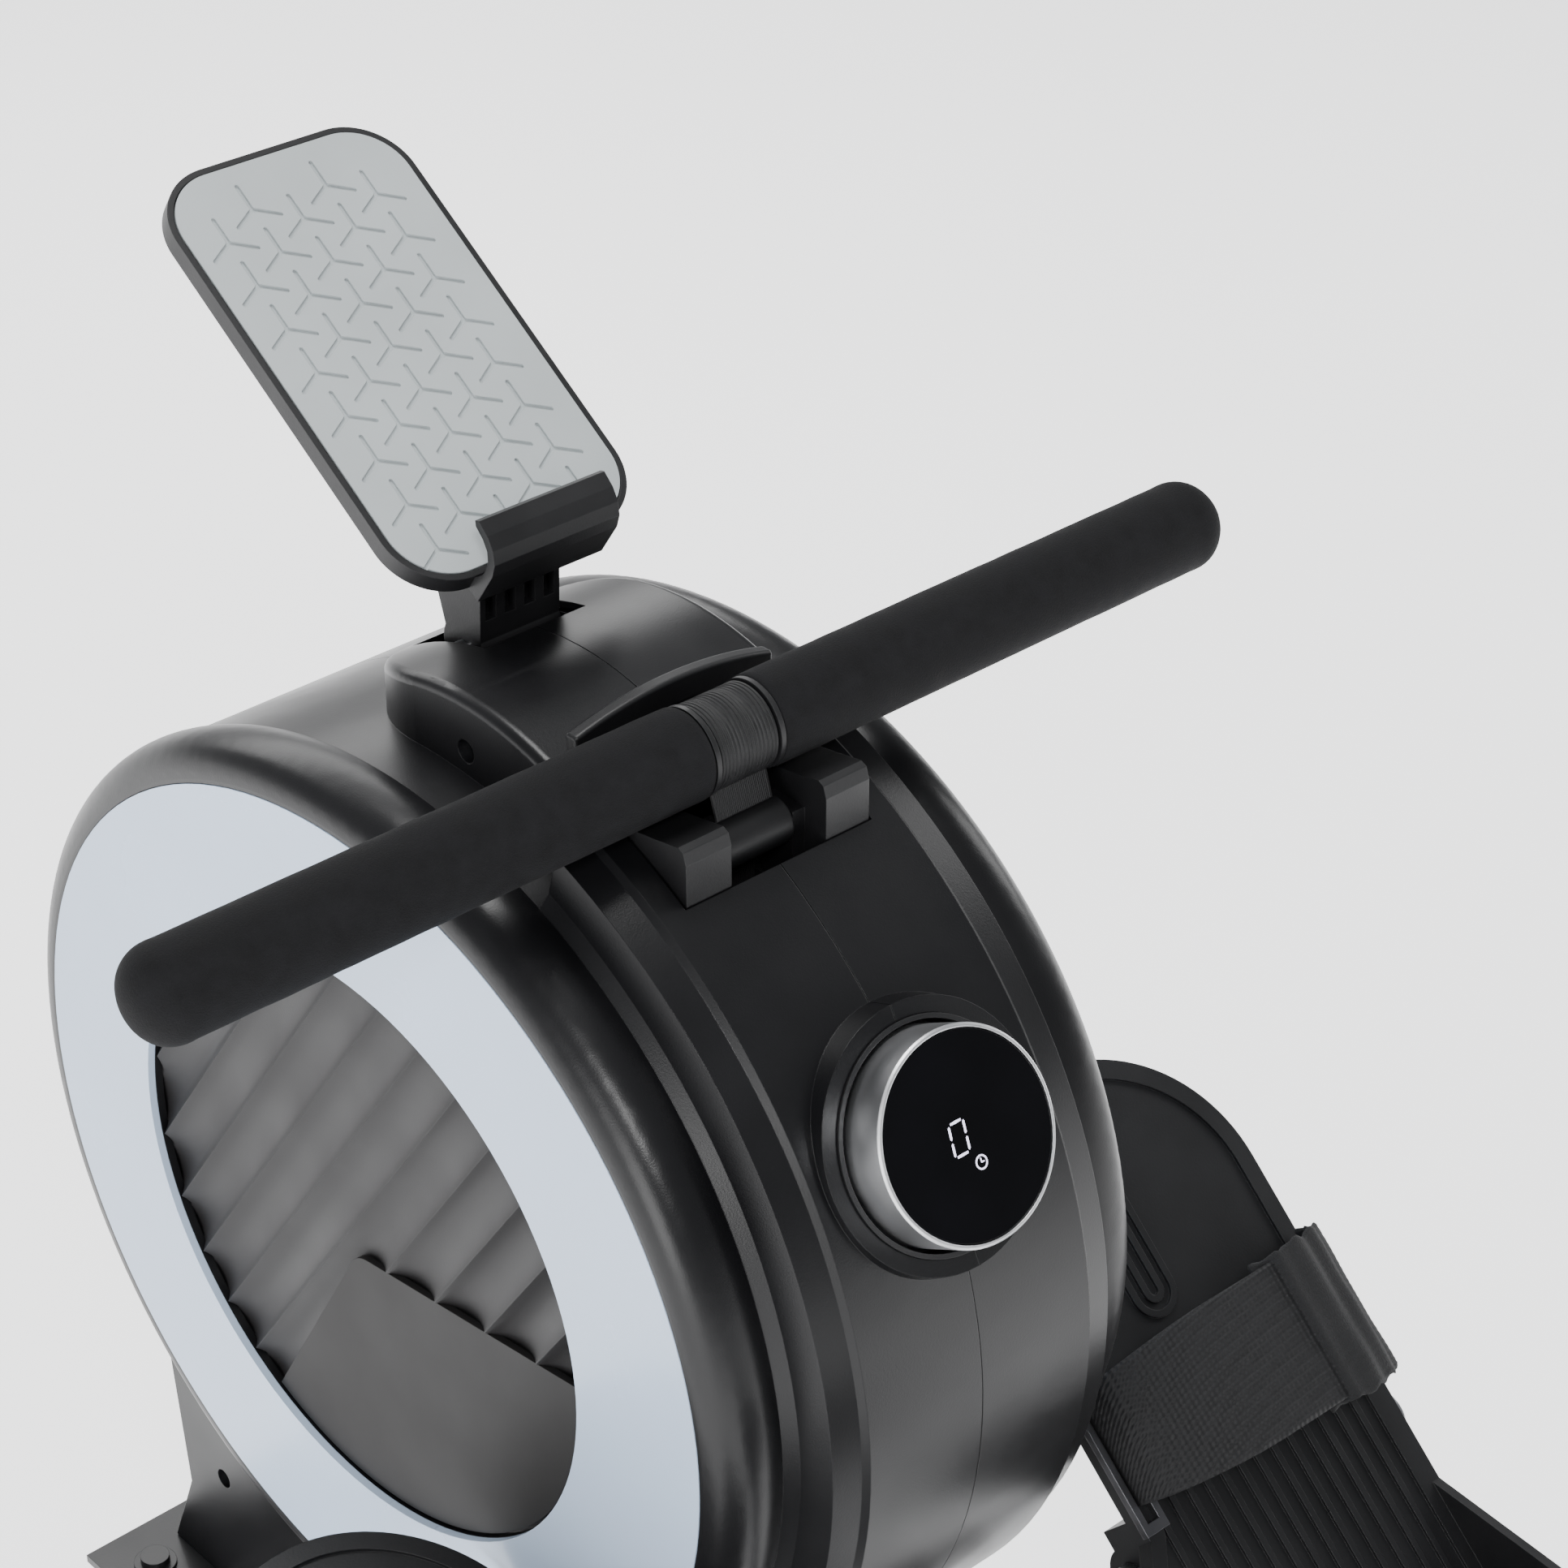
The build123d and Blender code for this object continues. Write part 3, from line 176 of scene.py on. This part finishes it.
strap_mat = surface("strap_nylon", (0.009, 0.009, 0.010), 0.6, patch=150, grain=2200, depth=0.0002,
                    vary=0.3, edge=0.0, specular=0.4, sheen=0.05)
add_weave(strap_mat, 0.0003, [("Y", 0.0017), ("X", 0.0024)])
loop_pile = surface("strap_loop_pile", (0.010, 0.010, 0.011), 0.85, patch=400, grain=1500, depth=0.0007,
                    vary=0.4, edge=0.0, sheen=0.06)
buckle = surface("buckle_steel", (0.16, 0.16, 0.17), 0.35, metal=1.0, patch=60)
tyre = surface("tyre_rubber", (0.02, 0.02, 0.02), 0.7, patch=60, grain=900, depth=0.0001)

light_mat = bpy.data.materials.new("display_light")
light_mat.use_nodes = True
glow = light_mat.node_tree.nodes["Principled BSDF"]
glow.inputs["Base Color"].default_value = (0.8, 0.78, 0.95, 1)
glow.inputs["Roughness"].default_value = 0.4
glow.inputs["Emission Color"].default_value = (0.80, 0.76, 1.0, 1)
glow.inputs["Emission Strength"].default_value = 1.6

by_slot = {
    "shell_black": shell, "ring_pale_blue": ring_white, "panel_charcoal": panel, "badge_charcoal": badge,
    "moulded_black": moulded, "frame_paint": paint, "rail_metal": rail_metal, "axle_steel": steel,
    "handle_steel": steel, "foam_black": foam, "webbing_black": webbing, "knob_silver": silver,
    "display_glass": glass, "circuit_green": board, "insert_grey": insert, "flywheel_iron": iron,
    "drive_steel": drive, "pulley_nylon": nylon, "belt_rubber": rubber, "spring_steel": spring,
    "magnet_nickel": magnet, "cable_sleeve": sleeve, "cushion_black": leather, "roller_white": white_roller,
    "strap_nylon": strap_mat, "buckle_steel": buckle, "tyre_rubber": tyre,
}
for part in frame["record"]["subparts"]:
    mesh = nodes[part["node"]].data
    mesh.materials.clear()
    mesh.materials.append(by_slot[part["material_slot"]])


# ---------------------------------------------------------------- mesh helpers
def make(name, verts, faces, mat, smooth=True):
    mesh = bpy.data.meshes.new(name)
    mesh.from_pydata([tuple(v) for v in verts], [], faces)
    mesh.validate()
    mesh.update()
    bm = bmesh.new()
    bm.from_mesh(mesh)
    bmesh.ops.recalc_face_normals(bm, faces=bm.faces)
    bm.to_mesh(mesh)
    bm.free()
    mesh.materials.append(mat)
    for p in mesh.polygons:
        p.use_smooth = smooth
    obj = bpy.data.objects.new(name, mesh)
    scene.collection.objects.link(obj)
    return obj


def tube(name, rings, mat, loop=False):
    """Closed skin through rings of equal point count, capped unless it runs round in a loop."""
    n = len(rings[0])
    verts = [p for r in rings for p in r]
    faces = []
    count = len(rings)
    for i in range(count if loop else count - 1):
        a, b = i * n, ((i + 1) % count) * n
        for j in range(n):
            k = (j + 1) % n
            faces.append((a + j, a + k, b + k, b + j))
    if not loop:
        faces.append(tuple(range(n)))
        faces.append(tuple(range((count - 1) * n, count * n)))
    return make(name, verts, faces, mat)


def lathe_x(name, profile, y, z, mat, steps=96, wobble=0.0):
    """Skin turned round a line along X from (x, radius) pairs."""
    rings = []
    for x, r in profile:
        ring = []
        for i in range(steps):
            a = math.tau * i / steps
            p = Vector((x, y + r * math.cos(a), z + r * math.sin(a)))
            if wobble:
                q = wobble * noise.noise(p * 90)
                p.y += q * math.cos(a)
                p.z += q * math.sin(a)
            ring.append(p)
        rings.append(ring)
    return tube(name, rings, mat)


# ---------------------------------------------------------------- handle
grip_lo, grip_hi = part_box("grips")
handle_y = (grip_lo.y + grip_hi.y) / 2
handle_z = (grip_lo.z + grip_hi.z) / 2
grip_r = (grip_hi.z - grip_lo.z) / 2
grip_end = grip_hi.x
grip_start = min(abs(v.co.x) for v in nodes["grips"].data.vertices)
bar_r = (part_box("handle_bar")[1].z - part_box("handle_bar")[0].z) / 2
dome = 0.015
rim = 0.0012
for side, word in ((1, "right"), (-1, "left")):
    profile = [
        (grip_start, bar_r + 0.0002),
        (grip_start, grip_r - rim),
        (grip_start + rim, grip_r - 0.0002),
    ]
    length = grip_end - grip_start - dome - rim
    for i in range(1, 90):
        profile.append((grip_start + rim + length * i / 90, grip_r - 0.0001))
    for i in range(16):
        a = math.pi / 2 * i / 16
        profile.append((grip_end - dome * (1 - math.sin(a) ** 0.92), grip_r * math.cos(a) ** 0.85))
    profile.append((grip_end, 0.0003))
    profile = [(side * x, r) for x, r in profile]
    grip = lathe_x(f"foam_grip_{word}", profile, handle_y, handle_z, foam, wobble=0.00016)
    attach(grip, "handle")
    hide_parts("grips")

# webbing wound round the middle of the bar, ribbed along its run
wrap_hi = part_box("webbing_wrap")[1]
wrap_half = wrap_hi.x
wrap_r = wrap_hi.z - handle_z
profile = [(-wrap_half, bar_r + 0.0002)]
ribs = 15
samples = ribs * 8
for i in range(samples + 1):
    x = -wrap_half + 2 * wrap_half * i / samples
    edge = min(1.0, (wrap_half - abs(x)) / 0.0008)
    rib = 0.0005 * abs(math.sin(math.pi * ribs * i / samples))
    profile.append((x, wrap_r - 0.0006 + rib - 0.0006 * (1 - edge)))
profile.append((wrap_half, bar_r + 0.0002))
wrap = lathe_x("webbing_wound_on_bar", profile, handle_y, handle_z, webbing, steps=120)
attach(wrap, "handle")
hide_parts("webbing_wrap")


def strip(name, path, half, thick, mat, ribs=13, axis=Vector((1, 0, 0)), narrow=1.0):
    """Flat ribbed strip along a path, with its width along axis, narrower at its start."""
    rings = []
    full = half
    for i, p in enumerate(path):
        grown = min(1.0, i / (0.45 * len(path)))
        half = full * (narrow + (1 - narrow) * grown * grown * (3 - 2 * grown))
        ahead = path[min(i + 1, len(path) - 1)] - path[max(i - 1, 0)]
        out = axis.cross(ahead).normalized()
        top, low = [], []
        across = ribs * 4
        for j in range(across + 1):
            t = -1 + 2 * j / across
            soft = min(1.0, (1 - abs(t)) * across / 6 + 0.35)
            lift = thick / 2 * soft * (0.82 + 0.18 * abs(math.sin(math.pi * j / 4)))
            top.append(p + axis * (t * half) + out * lift)
            low.append(p + axis * (t * half) - out * lift)
        rings.append(top + low[::-1])
    return tube(name, rings, mat)


# free length between guide roller and handle, which pays out with the handle
roller_lo, roller_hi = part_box("guide_roller")
roller_y = (roller_lo.y + roller_hi.y) / 2
foot = Vector((0, roller_y, roller_hi.z + 0.0010))
head = Vector((0, handle_y - 0.0087, handle_z - 0.0125))
span_path = [foot.lerp(head, i / 60) for i in range(61)]
span = strip("webbing_span", span_path, wrap_half - 0.0001, 0.0014, webbing)
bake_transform(span)


# ---------------------------------------------------------------- display marks
knob_lean = math.radians(28.9)
knob_axis = Vector((0, -math.cos(knob_lean), math.sin(knob_lean)))
knob_up = Vector((0, math.sin(knob_lean), math.cos(knob_lean)))
glass_lo, glass_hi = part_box("display_glass")
glass_mid = (glass_lo + glass_hi) / 2
face = max(v.co.dot(knob_axis) for v in nodes["display_glass"].data.vertices)
origin = glass_mid + knob_axis * (face - glass_mid.dot(knob_axis))


def on_glass(u, v, lift=0.00012):
    """Point on the display: u to the right, v up its slope."""
    return origin + Vector((1, 0, 0)) * u + knob_up * v + knob_axis * lift


def mark(name, outer, inner):
    """Flat lit ring between two outlines of equal count, with a little thickness."""
    below = -0.0001
    rings = []
    for p, q in zip(outer, inner):
        rings.append([on_glass(*p), on_glass(*q), on_glass(*q, below), on_glass(*p, below)])
    obj = tube(name, rings, light_mat, loop=True)
    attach(obj, "frame")


def superellipse(cx, cy, half_w, half_h, steps, power):
    """Closed outline; power 2 is an ellipse, higher is squarer."""
    points = []
    for i in range(steps):
        a = math.tau * i / steps
        c, s = math.cos(a), math.sin(a)
        x = half_w * math.copysign(abs(c) ** (2 / power), c)
        y = half_h * math.copysign(abs(s) ** (2 / power), s)
        points.append((cx + x, cy + y))
    return points


zero_u, zero_v = -0.0040, 0.0008
zero_lean = 0.12
bar_corners = ((-1, -1), (0, -1.25), (1, -1), (1, 0), (1, 1), (0, 1.25), (-1, 1), (-1, 0))


def bar_mark(name, u, v, half_w, half_h):
    """One leaning bar of the zero."""
    mid_u = zero_u + u + zero_lean * v
    mid_v = zero_v + v
    outer = [(mid_u + x * half_w + zero_lean * y * half_h, mid_v + y * half_h) for x, y in bar_corners]
    inner = [(mid_u + (p - mid_u) * 0.08, mid_v + (q - mid_v) * 0.08) for p, q in outer]
    mark(name, outer, inner)


for word, v in (("top", 0.0056), ("bottom", -0.0056)):
    bar_mark(f"display_zero_{word}", 0.0, v, 0.0024, 0.0004)
for word, v in (("upper", 0.0028), ("lower", -0.0028)):
    bar_mark(f"display_zero_{word}_left", -0.0033, v, 0.00045, 0.0019)
    bar_mark(f"display_zero_{word}_right", 0.0033, v, 0.00045, 0.0019)
clock_u, clock_v = 0.0016, -0.0102
rim_outer = superellipse(clock_u, clock_v, 0.0026, 0.0026, 40, 2)
rim_inner = superellipse(clock_u, clock_v, 0.0020, 0.0020, 40, 2)
mark("display_clock_rim", rim_outer, rim_inner)
for name, (dx, dy), (hw, hh) in (
    ("display_clock_hand", (0, 0.0007), (0.00025, 0.0009)),
    ("display_clock_short_hand", (0.0006, 0), (0.0007, 0.00025)),
):
    mid = (clock_u + dx, clock_v + dy)
    mark(name, superellipse(*mid, hw, hh, 12, 4), superellipse(*mid, hw * 0.1, hh * 0.1, 12, 4))


# ---------------------------------------------------------------- foot straps
def smooth_path(points, per=14):
    """Rounded path through the points."""
    out = []
    for i in range(len(points) - 1):
        p0 = points[max(i - 1, 0)]
        p1, p2 = points[i], points[i + 1]
        p3 = points[min(i + 2, len(points) - 1)]
        for j in range(per):
            t = j / per
            out.append(0.5 * ((2 * p1) + (p2 - p0) * t + (2 * p0 - 5 * p1 + 4 * p2 - p3) * t * t
                              + (3 * p1 - p0 - 3 * p2 + p3) * t ** 3))
    out.append(points[-1])
    return out


def band_frame(path, i, along, up, side):
    """Running direction of the band at point i, and the direction across its thickness."""
    ahead = (path[i + 1] - path[i - 1]).normalized()
    out = along.cross(ahead).normalized()
    if out.dot(up) < 0 and out.x * side < 0:
        out = -out
    return ahead, out


axle_lo, axle_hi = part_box("pedal_axle")
pivot = Vector((0, (axle_lo.y + axle_hi.y) / 2, (axle_lo.z + axle_hi.z) / 2))
plate_top = 0.022
band_reach = 0.050
band_arch = [(0.107, 0.0002), (0.113, 0.017), (0.138, 0.027), (0.170, 0.032), (0.206, 0.033),
             (0.228, 0.022), (0.235, 0.0002)]
end_half = 0.0325
hem_reach = 0.0222
stitch_half = 0.0012
stitch_lift = 0.0013
for side, tilt, word in ((1, 42.7, "right"), (-1, 11.0, "left")):
    a = math.radians(tilt)
    along = Vector((0, math.cos(a), math.sin(a)))
    up = Vector((0, -math.sin(a), math.cos(a)))
    body = f"pedal_{word}"
    path = smooth_path([pivot + Vector((side * x, 0, 0)) + up * (plate_top + h) + along * band_reach
                        for x, h in band_arch])
    strap = strip(f"foot_strap_band_{word}", path, 0.0298, 0.0026, strap_mat, ribs=17, axis=along, narrow=0.82)
    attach(strap, body)
    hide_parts(f"foot_strap_{word}")
    # loose creased end folded back over the outer turn
    over = []
    for i in range(48, 82):
        _, out = band_frame(path, i, along, up, side)
        over.append(path[i] + out * (0.0026 + 0.0008 * math.sin(i * 0.9)))
    flap = strip(f"foot_strap_end_{word}", over, end_half, 0.0016, loop_pile, ribs=24, axis=along)
    for v in flap.data.vertices:
        crease = noise.noise(Vector(v.co) * 55)
        fray = noise.noise(Vector(v.co) * 160)
        far = abs((v.co - over[0]).dot(along)) / end_half
        v.co += up * (0.0009 * crease) + along * (0.0022 * fray * far)
    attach(flap, body)
    # stitch rows inside both hems and across the folded end: (point, reach, runs across the band)
    places = [(i, reach, False) for i in range(12, 48) for reach in (-hem_reach, hem_reach)]
    places += [(46, (k - 7) * 0.0036, True) for k in range(15)]
    stitches = []
    for i, reach, across in places:
        ahead, out = band_frame(path, i, along, up, side)
        mid = path[i] + along * reach + out * stitch_lift
        run, cross = (along, ahead) if across else (ahead, along)
        stitches.append((mid - run * stitch_half, mid + run * stitch_half, cross, out))
    verts, faces = [], []
    for p, q, ahead, out in stitches:
        base = len(verts)
        for centre, scale in ((p, 0.5), (p.lerp(q, 0.3), 1), (p.lerp(q, 0.7), 1), (q, 0.5)):
            for j in range(6):
                t = math.tau * j / 6
                verts.append(centre + (ahead * math.cos(t) + out * math.sin(t)) * 0.00035 * scale)
        for r in range(3):
            for j in range(6):
                k = (j + 1) % 6
                faces.append((base + r * 6 + j, base + r * 6 + k, base + r * 6 + 6 + k, base + r * 6 + 6 + j))
    rows = make(f"foot_strap_stitching_{word}", verts, faces, thread)
    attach(rows, body)


# ---------------------------------------------------------------- seat pad
seat_lo, seat_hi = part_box("seat_cushion")
seat_mid = (seat_lo + seat_hi) / 2
seat_half = (seat_hi - seat_lo) / 2


def seat_outline(u, inset):
    """Point at share u round the pad's plan."""
    a = math.tau * u
    c, s = math.cos(a), math.sin(a)
    x = (seat_half.x - inset) * math.copysign(abs(c) ** (2 / 3.2), c)
    y = (seat_half.y - inset) * math.copysign(abs(s) ** (2 / 3.2), s)
    # waist at the front edge between the thighs
    y -= 0.010 * math.exp(-(x / 0.045) ** 2) if s > 0 else 0.0
    return x, y


def seat_top(x, y):
    """Shallow hollow for each side with a higher rear lip."""
    dip = 0.008 * math.exp(-((abs(x) - 0.065) / 0.045) ** 2 - ((y + 0.01) / 0.07) ** 2)
    lip = 0.004 * max(0.0, -y / seat_half.y) ** 2
    return -dip + lip - 0.005


rings = []
seat_height = seat_hi.z - seat_lo.z
seat_sides = ((0.0, 0.012), (0.04, 0.005), (0.18, 0.003), (0.45, 0.003), (0.62, 0.006), (0.8, 0.014),
              (0.92, 0.030))
for t, inset in seat_sides:
    z = seat_lo.z + 0.001 + t * (seat_height - 0.006)
    plan = [seat_outline(i / 120, inset) for i in range(120)]
    rings.append([Vector((seat_mid.x + x, seat_mid.y + y, z)) for x, y in plan])
for shrink in (0.82, 0.62, 0.40, 0.18):
    ring = []
    for i in range(120):
        x, y = seat_outline(i / 120, 0.012)
        x, y = x * shrink, y * shrink
        ring.append(Vector((seat_mid.x + x, seat_mid.y + y, seat_hi.z + seat_top(x, y))))
    rings.append(ring)
pad = tube("seat_pad", rings, leather)

# the cover is blown up as cloth, and each point is held to a small move
last_frame = 20
most_move = 0.004
bpy.context.view_layer.objects.active = pad
remesh = pad.modifiers.new("remesh", "REMESH")
remesh.mode = "VOXEL"
remesh.voxel_size = 0.006
cloth = pad.modifiers.new("cloth", "CLOTH")
cloth.settings.use_pressure = True
cloth.settings.uniform_pressure_force = 3.0
cloth.settings.mass = 0.4
cloth.settings.tension_stiffness = 30
cloth.settings.compression_stiffness = 30
cloth.settings.effector_weights.gravity = 0.0
cloth.point_cache.frame_start = 1
cloth.point_cache.frame_end = last_frame
bpy.ops.object.select_all(action="DESELECT")
pad.select_set(True)
bpy.ops.object.modifier_apply(modifier="remesh")
before = [v.co.copy() for v in pad.data.vertices]
for f in range(1, last_frame + 1):
    scene.frame_set(f)
deps = bpy.context.evaluated_depsgraph_get()
shaped = [v.co.copy() for v in pad.evaluated_get(deps).data.vertices]
pad.modifiers.clear()
scene.frame_set(1)
for v, old, new in zip(pad.data.vertices, before, shaped):
    move = new - old
    if move.length > most_move:
        move = move * (most_move / move.length)
    move.z = max(move.z, seat_lo.z - old.z)
    v.co = old + move
for p in pad.data.polygons:
    p.use_smooth = True
finer = pad.modifiers.new("finer", "SUBSURF")
finer.levels = 1
finer.render_levels = 1
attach(pad, "seat")
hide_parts("seat_cushion")

# piped seam round the pad's side
piping = []
rise = Vector((0, 0, 1))
for i in range(160):
    x, y = seat_outline(i / 160, 0.0015)
    x2, y2 = seat_outline((i + 0.5) / 160, 0.0015)
    centre = Vector((seat_mid.x + x, seat_mid.y + y, seat_lo.z + 0.30 * seat_height))
    out = Vector((x2 - x, y2 - y, 0)).normalized().cross(rise)
    angles = [math.tau * j / 8 for j in range(8)]
    piping.append([centre + (out * math.cos(t) + rise * math.sin(t)) * 0.0022 for t in angles])
pipe = tube("seat_piping", piping, leather, loop=True)
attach(pipe, "seat")


# ---------------------------------------------------------------- stage, lights and camera
floor_mat = surface("floor_pale", (0.93, 0.93, 0.94), 0.75, patch=3, grain=60, depth=0.00005, vary=0.01,
                    edge=0.0)
floor_z = -0.0005
floor_corners = [(x, y, floor_z) for x, y in ((-60, -60), (60, -60), (60, 60), (-60, 60))]
floor = make("floor", floor_corners, [(0, 1, 2, 3)], floor_mat, False)
floor_shader = floor_mat.node_tree.nodes["Principled BSDF"]
floor_shader.inputs["Emission Color"].default_value = (1, 1, 1, 1)
floor_shader.inputs["Emission Strength"].default_value = 1.5

world = bpy.data.worlds.new("studio")
scene.world = world
world.use_nodes = True
world.node_tree.nodes["Background"].inputs["Color"].default_value = (0.95, 0.97, 1.0, 1)
world.node_tree.nodes["Background"].inputs["Strength"].default_value = 0.3


def softbox(name, place, aim, size, power):
    data = bpy.data.lights.new(name, "AREA")
    data.shape = "RECTANGLE"
    data.size, data.size_y = size
    data.energy = power
    obj = bpy.data.objects.new(name, data)
    scene.collection.objects.link(obj)
    obj.location = place
    obj.rotation_euler = (Vector(aim) - Vector(place)).to_track_quat("-Z", "Y").to_euler()


focus = (0, handle_y, handle_z - 0.1)
softbox("overhead", (0.2, handle_y + 0.5, 2.9), focus, (1.2, 1.2), 42)
softbox("key", (-1.15, handle_y - 1.6, 2.3), focus, (0.45, 0.45), 26)
softbox("left_low", (-2.3, handle_y - 0.9, 0.9), focus, (1.0, 1.2), 24)
softbox("right_side", (2.4, handle_y - 0.2, 1.5), focus, (0.8, 1.4), 14)
softbox("far_back", (0.6, handle_y + 2.4, 1.7), focus, (2.6, 1.0), 34)

camera_data = bpy.data.cameras.new("camera")
camera_data.lens = 90.4
camera_data.sensor_width = 36
camera_data.clip_start = 0.05
camera = bpy.data.objects.new("camera", camera_data)
scene.collection.objects.link(camera)
camera.location = Vector((0, handle_y, handle_z)) + Vector((-0.7504, -0.8634, 0.6883))
turn, drop = math.radians(42.08), math.radians(31.72)
sight = Vector((math.sin(turn) * math.cos(drop), math.cos(turn) * math.cos(drop), -math.sin(drop)))
camera.rotation_euler = sight.to_track_quat("-Z", "Y").to_euler()
scene.camera = camera
